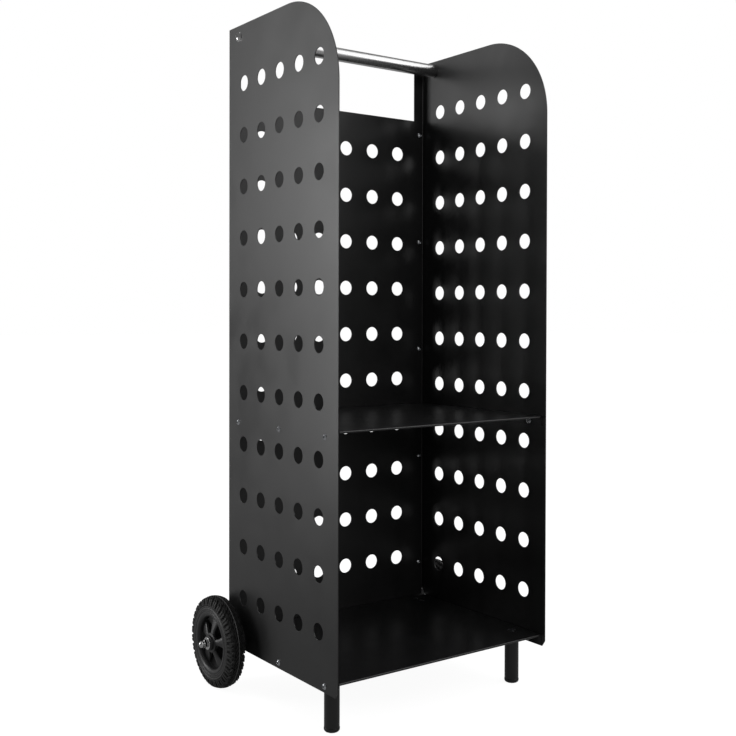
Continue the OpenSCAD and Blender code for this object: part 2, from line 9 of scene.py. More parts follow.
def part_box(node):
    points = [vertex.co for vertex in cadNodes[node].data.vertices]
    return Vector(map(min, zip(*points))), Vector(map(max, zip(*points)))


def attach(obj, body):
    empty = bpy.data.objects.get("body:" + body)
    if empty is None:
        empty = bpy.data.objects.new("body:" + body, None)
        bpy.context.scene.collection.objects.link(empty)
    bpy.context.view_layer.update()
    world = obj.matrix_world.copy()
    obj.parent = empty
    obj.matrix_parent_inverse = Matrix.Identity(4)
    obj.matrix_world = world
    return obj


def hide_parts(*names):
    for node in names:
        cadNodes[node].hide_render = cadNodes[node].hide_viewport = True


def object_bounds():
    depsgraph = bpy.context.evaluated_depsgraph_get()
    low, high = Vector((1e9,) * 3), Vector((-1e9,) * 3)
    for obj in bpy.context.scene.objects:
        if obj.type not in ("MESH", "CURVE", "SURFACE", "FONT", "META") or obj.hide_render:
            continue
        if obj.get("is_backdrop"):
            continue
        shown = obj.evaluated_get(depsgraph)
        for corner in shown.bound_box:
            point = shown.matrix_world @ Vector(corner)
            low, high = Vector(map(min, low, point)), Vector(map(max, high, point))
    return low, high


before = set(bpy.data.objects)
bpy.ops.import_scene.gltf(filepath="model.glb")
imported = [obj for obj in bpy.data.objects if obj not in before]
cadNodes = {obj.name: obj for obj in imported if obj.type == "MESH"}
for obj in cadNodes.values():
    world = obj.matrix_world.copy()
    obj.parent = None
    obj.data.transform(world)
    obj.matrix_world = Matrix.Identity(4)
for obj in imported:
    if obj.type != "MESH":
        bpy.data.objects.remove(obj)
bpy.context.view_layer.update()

print("frame loaded:", len(cadNodes), "nodes")

mm = 0.001
tau = 2 * math.pi


def nodeBox(node):
    # lowest and highest corner of a node in millimetres
    low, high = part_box(node)
    return np.array(low) / mm, np.array(high) / mm


def outward(points, faces):
    # turns the faces over if the volume they enclose comes out negative
    volume = 0.0
    for face in faces:
        for k in range(1, face.shape[1] - 1):
            a, b, c = points[face[:, 0]], points[face[:, k]], points[face[:, k + 1]]
            volume += np.einsum("ij,ij->", a, np.cross(b, c))
    return faces if volume > 0 else [face[:, ::-1] for face in faces]


def ringShell(rings, closed=False):
    # rings of points joined in order; the last joins the first, or both ends close on a middle point
    count, size = rings.shape[:2]
    points = rings.reshape(-1, 3)
    k, j = np.meshgrid(np.arange(count if closed else count - 1), np.arange(size), indexing="ij")
    after, beside = (k + 1) % count, (j + 1) % size
    quads = np.stack([k * size + j, k * size + beside, after * size + beside, after * size + j], -1)
    faces = [quads.reshape(-1, 4)]
    if not closed:
        here = np.arange(size)
        there = (here + 1) % size
        lastRing = (count - 1) * size
        first = np.stack([np.full(size, len(points)), there, here], -1)
        last = np.stack([np.full(size, len(points) + 1), lastRing + here, lastRing + there], -1)
        points = np.vstack([points, rings[0].mean(0), rings[-1].mean(0)])
        faces += [first, last]
    return points, outward(points, faces)


def spin(profile, steps=96):
    # profile of (radius, height) pairs carried round the z axis
    profile = np.asarray(profile, float)
    angle = tau * np.arange(steps) / steps
    return np.stack([
        profile[:, :1] * np.cos(angle), profile[:, :1] * np.sin(angle),
        np.repeat(profile[:, 1:2], steps, 1)], -1)


def shape(radius, height, angle):
    # rings whose radius may change with the angle: radius is (rings, angles), height one per ring
    height = np.broadcast_to(np.asarray(height, float)[:, None], radius.shape)
    return np.stack([radius * np.cos(angle), radius * np.sin(angle), height], -1)


def placed(shell, origin, side, up, out):
    # local x, y and z laid along side, up and out, from origin
    points, faces = shell
    points = points @ np.array([side, up, out], float) + np.asarray(origin, float)
    return points, outward(points, faces)


def newObject(name, data):
    # stands in the scene at the origin
    made = bpy.data.objects.new(name, data)
    bpy.context.scene.collection.objects.link(made)
    return made


def makePiece(name, shells, material, body, replaced, sharp=35):
    # one object of all the shells, smooth but for edges sharper than the angle
    corners, sizes, points, start = [], [], [], 0
    for shellPoints, faces in shells:
        for face in faces:
            corners.append((face + start).ravel())
            sizes.append(np.full(len(face), face.shape[1]))
        points.append(shellPoints)
        start += len(shellPoints)
    points, corners, sizes = np.vstack(points) * mm, np.concatenate(corners), np.concatenate(sizes)
    mesh = bpy.data.meshes.new(name)
    mesh.vertices.add(len(points))
    mesh.vertices.foreach_set("co", points.ravel())
    mesh.loops.add(len(corners))
    mesh.loops.foreach_set("vertex_index", corners)
    mesh.polygons.add(len(sizes))
    mesh.polygons.foreach_set("loop_start", np.cumsum(sizes) - sizes)
    mesh.polygons.foreach_set("use_smooth", np.ones(len(sizes), bool))
    mesh.update(calc_edges=True)
    mesh.validate()
    mesh.set_sharp_from_angle(angle=math.radians(sharp))
    mesh.materials.append(material)
    piece = newObject(name, mesh)
    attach(piece, body)
    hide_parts(replaced)
    return piece


def rounded(path, radius, steps=4):
    # swaps every real corner of a closed path for an arc; points on straight or gently curved runs stay
    path = np.asarray(path, float)
    before, after = np.roll(path, 1, 0) - path, np.roll(path, -1, 0) - path
    before /= np.linalg.norm(before, axis=1)[:, None]
    after /= np.linalg.norm(after, axis=1)[:, None]
    cosine = np.einsum("ij,ij->i", before, after)
    radius = np.broadcast_to(np.asarray(radius, float), len(path))
    real = (cosine > -0.9) & (radius > 0)
    half = np.where(real, np.arccos(np.clip(cosine, -1, 1)) / 2, math.pi / 4)
    middle = np.where(real[:, None], before + after, 1.0)
    middle /= np.linalg.norm(middle, axis=1)[:, None]
    centre = path + middle * (radius / np.sin(half))[:, None]
    reach = (radius / np.tan(half))[:, None]
    start, end = path + before * reach - centre, path + after * reach - centre
    sweep = (math.pi - 2 * half)[:, None, None]
    share = np.linspace(0, 1, steps + 1)[None, :, None]
    arcs = np.sin((1 - share) * sweep) * start[:, None] + np.sin(share * sweep) * end[:, None]
    arcs = centre[:, None] + arcs / np.sin(sweep)
    kept = np.ones((len(path), steps + 1), bool)
    kept[~real, 1:] = False
    return np.where(real[:, None, None], arcs, path[:, None])[kept]


def linear(code):
    # sRGB hex to linear RGBA
    values = [int(code[i:i + 2], 16) / 255 for i in (1, 3, 5)]
    return [v / 12.92 if v <= 0.04045 else ((v + 0.055) / 1.055) ** 2.4 for v in values] + [1.0]


def addNode(tree, kind, settings):
    # a setting names a property, or an input by name or place; a socket is linked there, a value written
    node = tree.nodes.new(kind)
    for key, value in settings.items():
        if isinstance(key, str) and key not in node.inputs:
            setattr(node, key, value)
        elif isinstance(value, bpy.types.NodeSocket):
            tree.links.new(value, node.inputs[key])
        else:
            node.inputs[key].default_value = value
    return node.outputs


def newMaterial(name):
    material = bpy.data.materials.new(name)
    material.use_nodes = True
    tree = material.node_tree
    tree.nodes.clear()
    return material, tree, addNode(tree, "ShaderNodeTexCoord", {})["Object"]


def finishMaterial(tree, settings):
    shader = addNode(tree, "ShaderNodeBsdfPrincipled", settings)["BSDF"]
    addNode(tree, "ShaderNodeOutputMaterial", {"Surface": shader})


def clouded(tree, position, millimetres, detail, colours, roughness):
    # colour and roughness that drift together, between two values each, over blobs about that long
    cloud = addNode(tree, "ShaderNodeTexNoise", {
        "Scale": 1 / (millimetres * mm), "Detail": detail, "Vector": position})["Fac"]
    dark, light = (linear(code) for code in colours)
    smooth, rough = roughness
    return {
        "Base Color": addNode(tree, "ShaderNodeMix", {"data_type": "RGBA", 0: cloud, 6: dark, 7: light})[2],
        "Roughness": addNode(tree, "ShaderNodeMapRange", {
            "Value": cloud, "From Min": 0.35, "From Max": 0.65, "To Min": smooth, "To Max": rough})["Result"]}


def grained(tree, position, *grains):
    # fine unevenness, each grain laid over the last; its length and its depth are in millimetres
    below = {}
    for millimetres, detail, strength, depth in grains:
        grain = addNode(tree, "ShaderNodeTexNoise", {
            "Scale": 1 / (millimetres * mm), "Detail": detail, "Vector": position})["Fac"]
        below = {"Normal": addNode(tree, "ShaderNodeBump", {
            "Strength": strength, "Distance": depth * mm, "Height": grain, **below})["Normal"]}
    return below


# satin black polyester powder coat: the fused grains leave a faint orange peel that breaks up reflections
def powderCoat(name, colours=("#131314", "#191919"), roughness=(0.30, 0.36), peel=2.2):
    material, tree, position = newMaterial(name)
    finishMaterial(tree, {"IOR": 1.5, **clouded(tree, position, 60, 3.0, colours, roughness),
                          **grained(tree, position, (peel, 1.0, 0.12, 0.2), (0.7, 0.0, 0.10, 0.05))})
    return material


# plated steel: zinc is passivated and a little cloudy, nickel smooth, so its dome shows sharp highlights
def platedSteel(name, cloudSize, colours, roughness):
    material, tree, position = newMaterial(name)
    finishMaterial(tree, {"Metallic": 1.0, **clouded(tree, position, cloudSize, 2.0, colours, roughness)})
    return material


# injection moulded plastic: soft gloss on a faint spark-eroded grain
def mouldedPlastic(name, colours, roughness):
    material, tree, position = newMaterial(name)
    finishMaterial(tree, {"IOR": 1.49, **clouded(tree, position, 12, 2.0, colours, roughness),
                          **grained(tree, position, (0.5, 1.0, 0.15, 0.04))})
    return material


# stainless tube, ground round: fine rings across it drag each highlight out along the bar
def brushedStainless():
    material, tree, position = newMaterial("brushedStainless")
    rings = addNode(tree, "ShaderNodeMapping", {"Scale": (1.0, 0.02, 0.02), "Vector": position})["Vector"]
    lines, bands = (addNode(tree, "ShaderNodeTexNoise", {
        "Scale": 1 / (millimetres * mm), "Detail": detail, "Vector": rings})["Fac"]
        for millimetres, detail in ((0.6, 2.0), (14, 3.0)))
    finishMaterial(tree, {
        "Metallic": 1.0,
        "Base Color": addNode(tree, "ShaderNodeMix", {
            "data_type": "RGBA", 0: bands, 6: linear("#cfcfcf"), 7: linear("#dadada")})[2],
        "Roughness": addNode(tree, "ShaderNodeMapRange", {
            "Value": lines, "From Min": 0.35, "From Max": 0.65, "To Min": 0.26, "To Max": 0.32})["Result"],
        "Normal": addNode(tree, "ShaderNodeBump", {
            "Strength": 0.05, "Distance": 0.01 * mm, "Height": lines})["Normal"]})
    return material


# moulded rubber: a soft sheen on the sidewall where the mould is smooth, dull on the tread, whose darker
# colour is painted shade, and a pale line round the middle of the tread where the mould halves meet, which is
# a painted highlight
def mouldedRubber(centre, treadFrom, treadFade=0.6, highlightHalf=0.35, highlightFade=0.25):
    material, tree, position = newMaterial("mouldedRubber")
    fromAxle = addNode(tree, "ShaderNodeMapping", {
        "Scale": (0, 1, 1), "Location": (0, -centre[1] * mm, -centre[2] * mm), "Vector": position})["Vector"]
    radius = addNode(tree, "ShaderNodeVectorMath", {"operation": "LENGTH", 0: fromAxle})["Value"]
    tread = addNode(tree, "ShaderNodeMapRange", {
        "Value": radius, "From Min": treadFrom * mm, "From Max": (treadFrom + treadFade) * mm})["Result"]
    across = addNode(tree, "ShaderNodeSeparateXYZ", {"Vector": position})["X"]
    for middle in (0, abs(centre[0]) * mm):
        across = addNode(tree, "ShaderNodeMath", {"operation": "SUBTRACT", 0: across, 1: middle})[0]
        across = addNode(tree, "ShaderNodeMath", {"operation": "ABSOLUTE", 0: across})[0]
    # the mask below marks a painted highlight: a pale line round the middle of the tread
    paintedHighlight = addNode(tree, "ShaderNodeMapRange", {
        "Value": across, "From Min": highlightHalf * mm, "From Max": (highlightHalf + highlightFade) * mm,
        "To Min": 1.0, "To Max": 0.0})["Result"]
    cloud = addNode(tree, "ShaderNodeTexNoise", {
        "Scale": 1 / (18 * mm), "Detail": 4.0, "Vector": position})["Fac"]
    colour = linear("#151515")
    # the darker tread colour is painted shade and the pale middle line a painted highlight; the cloud is the
    # rubber's own uneven tone
    for share, code in ((cloud, "#1c1c1c"), (tread, "#0c0c0c"), (paintedHighlight, "#6c6c6c")):
        colour = addNode(tree, "ShaderNodeMix", {
            "data_type": "RGBA", 0: share, 6: colour, 7: linear(code)})[2]
    finishMaterial(tree, {
        "IOR": 1.52, "Base Color": colour,
        "Roughness": addNode(tree, "ShaderNodeMapRange", {
            "Value": tread, "To Min": 0.46, "To Max": 0.68})["Result"],
        **grained(tree, position, (0.8, 2.0, 0.25, 0.08))})
    return material


panelCoat = powderCoat("powderCoatPanel")
shelfCoat = powderCoat("powderCoatShelf", ("#121213", "#171718"))
tubeCoat = powderCoat("powderCoatTube", ("#111112", "#161617"), (0.28, 0.34), peel=1.6)
zinc = platedSteel("zincPlate", 3, ("#a6a8ab", "#babcbf"), (0.20, 0.28))
nickel = platedSteel("nickelPlate", 5, ("#bebebe", "#cecece"), (0.08, 0.14))
stainless = brushedStainless()
rubber = mouldedRubber(sum(nodeBox("left_tyre")) / 2, treadFrom=64.6)
rimPlastic = mouldedPlastic("mouldedPolypropylene", ("#1b1b1c", "#222223"), (0.38, 0.46))
capPlastic = mouldedPlastic("mouldedPolyethylene", ("#0f0f10", "#151516"), (0.38, 0.48))
print("materials made")


# hidden and plain parts keep their own solids, in the finish of their kind
keptNodes = {
    tubeCoat: ("left_axle_bracket", "right_axle_bracket"),
    zinc: ("handle_inserts", "foot_inserts", "axle_rod", "axle_spacers", "left_hub_bush", "right_hub_bush"),
}
for material, names in keptNodes.items():
    for name in names:
        cadNodes[name].data.materials.clear()
        cadNodes[name].data.materials.append(material)


# the sheet's screw holes follow these too
screws = {
    "hole": 6.4, "holeSteps": 24,
    "shelfDrop": 11.0, "shelfStep": 138.0,      # below the deck, and from the middle screw to the next
    # width, height, key, its depth and the steps round each domed head
    "sheetHead": (10.5, 3.3, 4.0, 1.8, 48), "handleHead": (17.5, 5.0, 5.0, 2.4, 72),
    "flushHeadSteps": 48, "domeSteps": 9, "headRim": 0.25, "headFoot": 0.3, "nutSteps": 72,
    # socket mouth over the key's corners, its bevel and the drops below it, then the drill tip
    "mouth": 1.06, "mouthBevel": 0.15, "mouthDrops": (0.08, 0.45), "wallDraft": 0.995, "tip": (0.25, 0.35),
    "nutAcross": 10.0, "nutHeight": 5.0, "nutChamfer": 0.9, "chamferRows": 6, "nutBehind": 3.0,
    "facedTo": 0.97, "boreChamfer": (0.6, 0.5),      # end face over the flats, chamfer of the thread's mouth
    "thread": 6.0, "pitch": 1.0, "threadFrom": 1.0, "threadTo": 9.5, "threadSteps": 36,
    "threadRings": 8, "threadDepth": 0.61, "threadPoint": 0.6,      # rings a pitch, shares of the pitch
    "backAcross": 210.5, "backTop": 1022.0, "backStep": 216.0, "backCount": 5,
    # flush heads: land, bevels of its two edges, mouth, drops to the socket's walls and floor
    "flushLand": 0.4, "flushBevel": (0.05, 0.15), "flushMouth": 1.08, "flushDrop": 0.3, "flushDraft": 0.99,
    "footThread": (8.0, 18.0, 5.0, 1.25), "bracketThread": (6.0, 12.0, 4.0, 1.0),
    "footPlace": (194.5, -153.5), "bracketPlaces": [(186.0, 95.5), (186.0, 111.5)],
    "footHole": 8.2, "bracketHole": 6.2, "flushSteps": 32,      # radius where each head meets the deck
}

sheet = {
    "thickness": 1.5,
    "edge": 0.3,           # rounding of every cut edge
    "edgeTurns": [0, 30, 60, 90],
    "corner": 0.8,         # rounding of the outline's corners
    "bendRadius": 2.25,    # to the middle of the sheet
    "bendSteps": 6,
    "holeSteps": 64,
}


def circle(centre, radius, steps):
    # clockwise, so that the sheet lies to the left of the path as it does along the outline
    angle = -tau * np.arange(steps) / steps
    return np.stack([centre[0] + radius * np.cos(angle), centre[1] + radius * np.sin(angle)], -1)


def screwHoles(places):
    # clearance holes, a circle at each place
    return [circle(place, screws["hole"] / 2, screws["holeSteps"]) for place in places]


def perforations(values, middle, top):
    # columns centred on the middle, rows counted down from the top
    column = middle + values["columnPitch"] * (np.arange(values["columns"]) - (values["columns"] - 1) / 2)
    row = top - values["rowTop"] - values["rowPitch"] * np.arange(values["rows"])
    radius = values["holeDiameter"] / 2
    return [circle((across, height), radius, sheet["holeSteps"]) for across in column for height in row]


def leftNormals(loop):
    # mitred direction into the sheet at each point of a closed path
    ahead = np.roll(loop, -1, 0) - loop
    ahead /= np.linalg.norm(ahead, axis=1)[:, None]
    ahead = np.stack([-ahead[:, 1], ahead[:, 0]], -1)
    behind = np.roll(ahead, 1, 0)
    both = ahead + behind
    return both / np.einsum("ij,ij->i", both, ahead)[:, None]


def fold(points, normals, axis, sign, start, radius, angle):
    # bends what lies past start along the signed axis towards negative height, round an arc of mid radius
    along, height = sign * points[:, axis], points[:, 2].copy()
    over = np.maximum(along - start, 0)
    turn = np.minimum(over / radius, angle)
    rest, reach = np.maximum(over - radius * angle, 0), radius + height
    points[:, axis] = sign * (np.minimum(along, start) + reach * np.sin(turn) + rest * np.cos(turn))
    points[:, 2] = reach * np.cos(turn) - radius - rest * np.sin(turn)
    ahead, up = sign * normals[:, axis], normals[:, 2].copy()
    normals[:, axis] = sign * (ahead * np.cos(turn) + up * np.sin(turn))
    normals[:, 2] = up * np.cos(turn) - ahead * np.sin(turn)


def seamsAt(outline, axis, values, ends):
    # pairs of outline points that share one of the values on the axis and lie at the two ends across it
    other = 1 - axis
    pairs = []
    for value in values:
        near = np.flatnonzero(np.abs(outline[:, axis] - value) < 1e-6)
        pairs.append([near[np.argmin(np.abs(outline[near, other] - end))] for end in ends])
    return pairs


def cutSheet(outline, holes, seams, edge, thickness):
    # flat blank with rounded edges: every path carries a quarter round, the wall and another quarter round
    # seams are pairs of outline points that a fold line joins
    loops = [outline] + holes
    starts = np.cumsum([0] + [len(loop) for loop in loops])
    turn = np.radians(sheet["edgeTurns"])
    inset = np.concatenate([edge * (1 - np.sin(turn)), edge * (1 - np.sin(turn[::-1]))])
    height = np.concatenate([thickness / 2 - edge * (1 - np.cos(turn)),
                             -thickness / 2 + edge * (1 - np.cos(turn[::-1]))])
    tilt = np.concatenate([turn, np.pi - turn[::-1]])
    flat, inward = np.vstack(loops), np.vstack([leftNormals(loop) for loop in loops])
    rows = flat[None] + inset[:, None, None] * inward[None]
    points = np.concatenate([rows, np.broadcast_to(height[:, None, None], rows.shape[:2] + (1,))], -1)
    unit = inward / np.linalg.norm(inward, axis=1)[:, None]
    normals = np.concatenate([-np.sin(tilt)[:, None, None] * unit[None],
                              np.broadcast_to(np.cos(tilt)[:, None, None], rows.shape[:2] + (1,))], -1)
    total = starts[-1]
    walls, borders = [], []
    for first, last in zip(starts[:-1], starts[1:]):
        here = np.arange(first, last)
        there = np.roll(here, -1)
        borders.append(np.stack([here, there], -1))
        row = (np.arange(len(inset) - 1) * total)[:, None]
        wall = np.stack([row + here, row + here + total, row + there + total, row + there], -1)
        walls.append(wall.reshape(-1, 4))
    borders = np.vstack(borders + ([np.array(seams)] if len(seams) else []))
    made = delaunay_2d_cdt([Vector(p) for p in rows[0]], borders.tolist(), [], 1, 1e-5)
    origin = np.array([source[0] for source in made[3]])
    faces = origin[np.array(made[2])]
    middle = rows[0][faces].mean(1)
    kept = np.ones(len(faces), bool)
    for hole in holes:
        centre = hole.mean(0)
        reach = (np.linalg.norm(hole[0] - centre) + edge) * np.cos(np.pi / len(hole))
        kept &= np.linalg.norm(middle - centre, axis=1) > reach
    faces = faces[kept]
    a, b, c = (rows[0][faces[:, k]] for k in range(3))
    wrong = (b[:, 0] - a[:, 0]) * (c[:, 1] - a[:, 1]) - (b[:, 1] - a[:, 1]) * (c[:, 0] - a[:, 0]) < 0
    faces[wrong] = faces[wrong][:, ::-1]
    under = faces[:, ::-1] + total * (len(inset) - 1)
    return points.reshape(-1, 3), normals.reshape(-1, 3), [np.vstack(walls), np.vstack([faces, under])]


def sheetPiece(name, node, blank, toSpace, material, folds=()):
    # folds the blank, lays it in space and gives it the exact normals of its flats, bends and edges
    points, normals, faces = blank
    for args in folds:
        fold(points, normals, *args)
    points, normals = toSpace(points, normals)
    piece = makePiece(name, [(points, outward(points, faces))], material, "cart", node, sharp=180)
    piece.data.normals_split_custom_set_from_vertices(normals)
    return piece


sidePanel = {
    "crownRadius": 150.0, "crownSteps": 40,
    "toe": (7.0, 10.0),
    "heel": 32.98,
    "holeDiameter": 27.0, "columns": 5, "columnPitch": 60.0, "rows": 11, "rowPitch": 90.0, "rowTop": 103.0,
    "boltHole": 8.4, "boltBack": 36.0, "boltDrop": 19.0,
    "backScrewIn": 11.5, "backScrewTop": 144.0,
}


def makeSidePanel(name, side, decks):
    # drawn with the height along the second axis, then the rear flange is folded in
    node = name + "_side_panel"
    low, high = nodeBox(node)
    values, thickness, bend = sidePanel, sheet["thickness"], sheet["bendRadius"]
    front, rear, bottom, top = low[1], high[1], low[2], high[2]
    bendStart = rear - bend - thickness / 2
    turn = np.linspace(0, math.pi / 2, sheet["bendSteps"] + 1)
    bendAlong = bendStart + bend * turn
    flangeEnd = bendAlong[-1] + (high[0] - low[0]) - bend - thickness / 2
    heelFoot = rear - values["heel"]
    heel = np.stack([bendAlong, bottom + bendStart + bend * np.sin(turn) - heelFoot], -1)
    radius = values["crownRadius"]
    arc = np.linspace(math.pi / 2, math.pi, values["crownSteps"])
    crown = np.stack([front + radius * (1 + np.cos(arc)), top - radius * (1 - np.sin(arc))], -1)
    outline = np.vstack([
        [(front + values["toe"][0], bottom), (heelFoot, bottom)], heel,
        [(flangeEnd, heel[-1, 1]), (flangeEnd, top)],
        np.stack([bendAlong[::-1], np.full(len(turn), top)], -1),
        crown, [(front, bottom + values["toe"][1])]])
    outline = rounded(outline, sheet["corner"])

    middle = (front + rear) / 2
    holes = perforations(values, middle, top)
    holes += screwHoles((middle + k * screws["shelfStep"], z - screws["shelfDrop"])
                        for k in (-1, 0, 1) for z in decks)
    boltPlace = (rear - values["boltBack"], top - values["boltDrop"])
    holes += [circle(boltPlace, values["boltHole"] / 2, screws["holeSteps"])]
    alongFlange = bendAlong[-1] + values["backScrewIn"] - bend - thickness / 2
    holes += screwHoles((alongFlange, top - values["backScrewTop"] - k * screws["backStep"])
                        for k in range(screws["backCount"]))
    seams = seamsAt(outline, 0, bendAlong, (bottom, top))
    blank = cutSheet(outline, holes, seams, sheet["edge"], thickness)

    outerFace = side * max(abs(low[0]), abs(high[0]))

    def toSpace(points, normals):
        along, height, out = points.T
        return (np.stack([outerFace + side * (out - thickness / 2), along, height], -1),
                np.stack([side * normals[:, 2], normals[:, 0], normals[:, 1]], -1))

    sheetPiece(name + "SidePanel", node, blank, toSpace, panelCoat,
               [(0, 1, bendStart, bend, math.pi / 2)])


backPanel = {
    "corner": 6.0, "cornerSteps": 10,
    "holeDiameter": 27.0, "columns": 6, "columnPitch": 62.0, "rows": 10, "rowPitch": 89.5, "rowTop": 70.0,
    "screwIn": 8.0, "screwTop": 28.0,
}


def makeBackPanel():
    # flat sheet that stands behind the shelves, drawn with the height along the second axis
    low, high = nodeBox("back_panel")
    values = backPanel
    corners = [(low[0], low[2]), (high[0], low[2]), (high[0], high[2]), (low[0], high[2])]
    holes = perforations(values, 0.0, high[2])
    across, first = high[0] - values["screwIn"], high[2] - values["screwTop"]
    holes += screwHoles((side * across, first - k * screws["backStep"])
                        for side in (-1, 1) for k in range(screws["backCount"]))
    outline = rounded(corners, values["corner"], values["cornerSteps"])
    blank = cutSheet(outline, holes, [], sheet["edge"], sheet["thickness"])
    middle = (low[1] + high[1]) / 2

    def toSpace(points, normals):
        across, height, out = points.T
        return (np.stack([across, middle - out, height], -1),
                np.stack([normals[:, 0], -normals[:, 2], normals[:, 1]], -1))

    sheetPiece("backPanel", "back_panel", blank, toSpace, panelCoat)


shelf = {
    "hemRadius": 1.25, "hemSteps": 8, "hemLeg": 12.0, "relief": 6.0, "notch": 20.5,
    "setForward": 1.5,      # middle of the shelf before the middle of the side panels
    "heel": 34.52,          # the plane that cuts the bottom shelf's rear corners lies at y = z + heel
}


def makeShelf(name, heel=None, deckHoles=()):
    # deck with hemmed front and rear edges and side flanges folded down
    node = name + "_shelf"
    low, high = nodeBox(node)
    values, thickness, bend, hem = shelf, sheet["thickness"], sheet["bendRadius"], shelf["hemRadius"]
    deck = high[2] - thickness / 2
    bendStart = high[0] - bend - thickness / 2
    bendAlong = bendStart + bend * np.linspace(0, math.pi / 2, sheet["bendSteps"] + 1)
    flangeEnd = bendAlong[-1] + (high[2] - low[2]) - bend - thickness / 2
    hemStart = high[1] - hem - thickness / 2
    frontStart = low[1] + hem + thickness / 2
    hemOver = hem * np.linspace(0, math.pi, values["hemSteps"] + 1)
    hemEnd = hemOver[-1] + values["hemLeg"]
    half = high[0] - values["relief"]
    rearHalf, bendEnd, rearCorner = half, np.full(len(bendAlong), hemStart), [(flangeEnd, hemStart)]
    if heel is not None:
        # the plane y = z + heel takes the rear corners off, round the bend and a notch's width into the deck
        rearHalf = high[0] - values["notch"]
        bendEnd = deck - bend * (1 - np.cos((bendAlong - bendStart) / bend)) + heel
        rearCorner = [(flangeEnd, low[2] + heel)]
    right = np.vstack([
        [(half, frontStart - hemEnd)],
        np.stack([np.full(len(hemOver), half), frontStart - hemOver[::-1]], -1),
        np.stack([bendAlong, np.full(len(bendAlong), frontStart)], -1),
        [(flangeEnd, frontStart)], rearCorner,
        np.stack([bendAlong, bendEnd], -1)[::-1],
        [(rearHalf, bendEnd[0])] if heel is not None else np.empty((0, 2)),
        np.stack([np.full(len(hemOver), rearHalf), hemStart + hemOver], -1),
        [(rearHalf, hemStart + hemEnd)]])
    outline = np.vstack([right, right[::-1] * (-1, 1)])
    soft = np.where(np.isin(np.abs(outline[:, 0]), (half, rearHalf)), 0.0, sheet["corner"])
    outline = rounded(outline, soft)

    middle = (low[1] + high[1]) / 2 - values["setForward"]
    screwAlong = bendAlong[-1] + screws["shelfDrop"] - bend - thickness / 2
    holes = screwHoles((side * screwAlong, middle + k * screws["shelfStep"])
                       for side in (-1, 1) for k in (-1, 0, 1))
    holes += [circle((side * x, y), radius, screws["flushSteps"])
              for side in (-1, 1) for x, y, radius in deckHoles]
    seams = []
    for side in (-1, 1):
        seams += seamsAt(outline, 0, side * bendAlong, (frontStart, hemStart))
    for along in (hemStart + hemOver, frontStart - hemOver):
        seams += seamsAt(outline, 1, along, (-half, half))
    blank = cutSheet(outline, holes, seams, sheet["edge"], thickness)

    def toSpace(points, normals):
        return points + [0, 0, deck], normals

    sheetPiece(name + "Shelf", node, blank, toSpace, shelfCoat, [
        (0, 1, bendStart, bend, math.pi / 2), (0, -1, bendStart, bend, math.pi / 2),
        (1, 1, hemStart, hem, math.pi), (1, -1, -frontStart, hem, math.pi)])


deckTops = [nodeBox(node)[1][2] for node in ("upper_shelf", "bottom_shelf")]
makeSidePanel("left", -1, deckTops)
makeSidePanel("right", 1, deckTops)
makeBackPanel()
makeShelf("upper")
flushHoles = [screws["footPlace"] + (screws["footHole"],)]
flushHoles += [place + (screws["bracketHole"],) for place in screws["bracketPlaces"]]
makeShelf("bottom", shelf["heel"], flushHoles)
print("folded sheet made")


# both wheels are drawn about z, with z outward
tyre = {
    "halfWidth": 15.95, "shoulder": 13.2,
    "crownMiddle": 54.0, "crownRadius": 25.9, "crownStep": 0.5,
    "partingLine": 0.1, "partingEdge": (0.25, 0.6), "partingRings": [0, 0.3, 0.6, 1.0],
    "chamferFoot": 65.0, "chamferRings": 15, "chamferSwell": 0.9,
    "wallRings": [64.8, 64.5, 64.1, 63.7, 63.4, 62.4, 61.6, 61.1, 60.6, 60.1, 59.6, 58.6, 57.6, 57.2, 57.0],
    "bead": 57.0, "beadRound": (0.1, 0.4), "seat": 53.0, "lip": 2.0,
    "lugs": 30, "lugSteps": 26, "pitchRadius": 78.0,      # lugs round each shoulder, angular steps for each
    "centre": 1.3, "ring": 7.2, "zigzag": 0.9, "ringEnd": 12.0,      # edge of the middle rib, zigzag groove
    "lugGap": 2.5, "notchGap": 1.0, "blockGap": 1.5, "ringGap": 0.9,      # half widths of the grooves
    "lugDepth": 3.0, "depth": 2.6, "notchDepth": 1.6, "wall": 0.35,
    "lugSlant": 0.07, "blockSlant": 0.12, "runOut": (64.5, 68.5),
    "lines": [(60.6, 1.0, 0.5), (64.1, 0.75, 1.3)],      # radius, half width and depth, cut in the sidewall
}


def step(value, low, high):
    # smooth rise from 0 at low to 1 at high
    share = np.clip((value - low) / (high - low), 0, 1)
    return share * share * (3 - 2 * share)


def tyrePath():
    # half section from the middle out: crown arc, slanted shoulder, flat sidewall, bead and seat
    values = tyre
    z = np.arange(values["centre"], values["shoulder"], values["crownStep"])
    z = np.concatenate([values["partingRings"], z])
    crown = np.stack([values["crownMiddle"] + np.sqrt(values["crownRadius"] ** 2 - z ** 2), z], -1)
    share = np.linspace(0, 1, values["chamferRings"] + 1)[1:, None]
    chamfer = crown[-1] + share * (np.array([values["chamferFoot"], values["halfWidth"]]) - crown[-1])
    chamfer[:, 1] += values["chamferSwell"] * np.sin(math.pi * share[:, 0]) * (1 - 0.5 * share[:, 0])
    wall = np.stack([values["wallRings"], np.full(len(values["wallRings"]), values["halfWidth"])], -1)
    wall[-2:, 1] -= values["beadRound"]
    seatZ = values["halfWidth"] - values["lip"]
    seat = np.array([(values["bead"] - 0.1, seatZ), (values["seat"], seatZ - 0.3)])
    path = np.vstack([crown, chamfer, wall, seat])
    ahead = np.gradient(path, axis=0)
    return path, np.stack([ahead[:, 1], -ahead[:, 0]], -1) / np.linalg.norm(ahead, axis=1)[:, None]


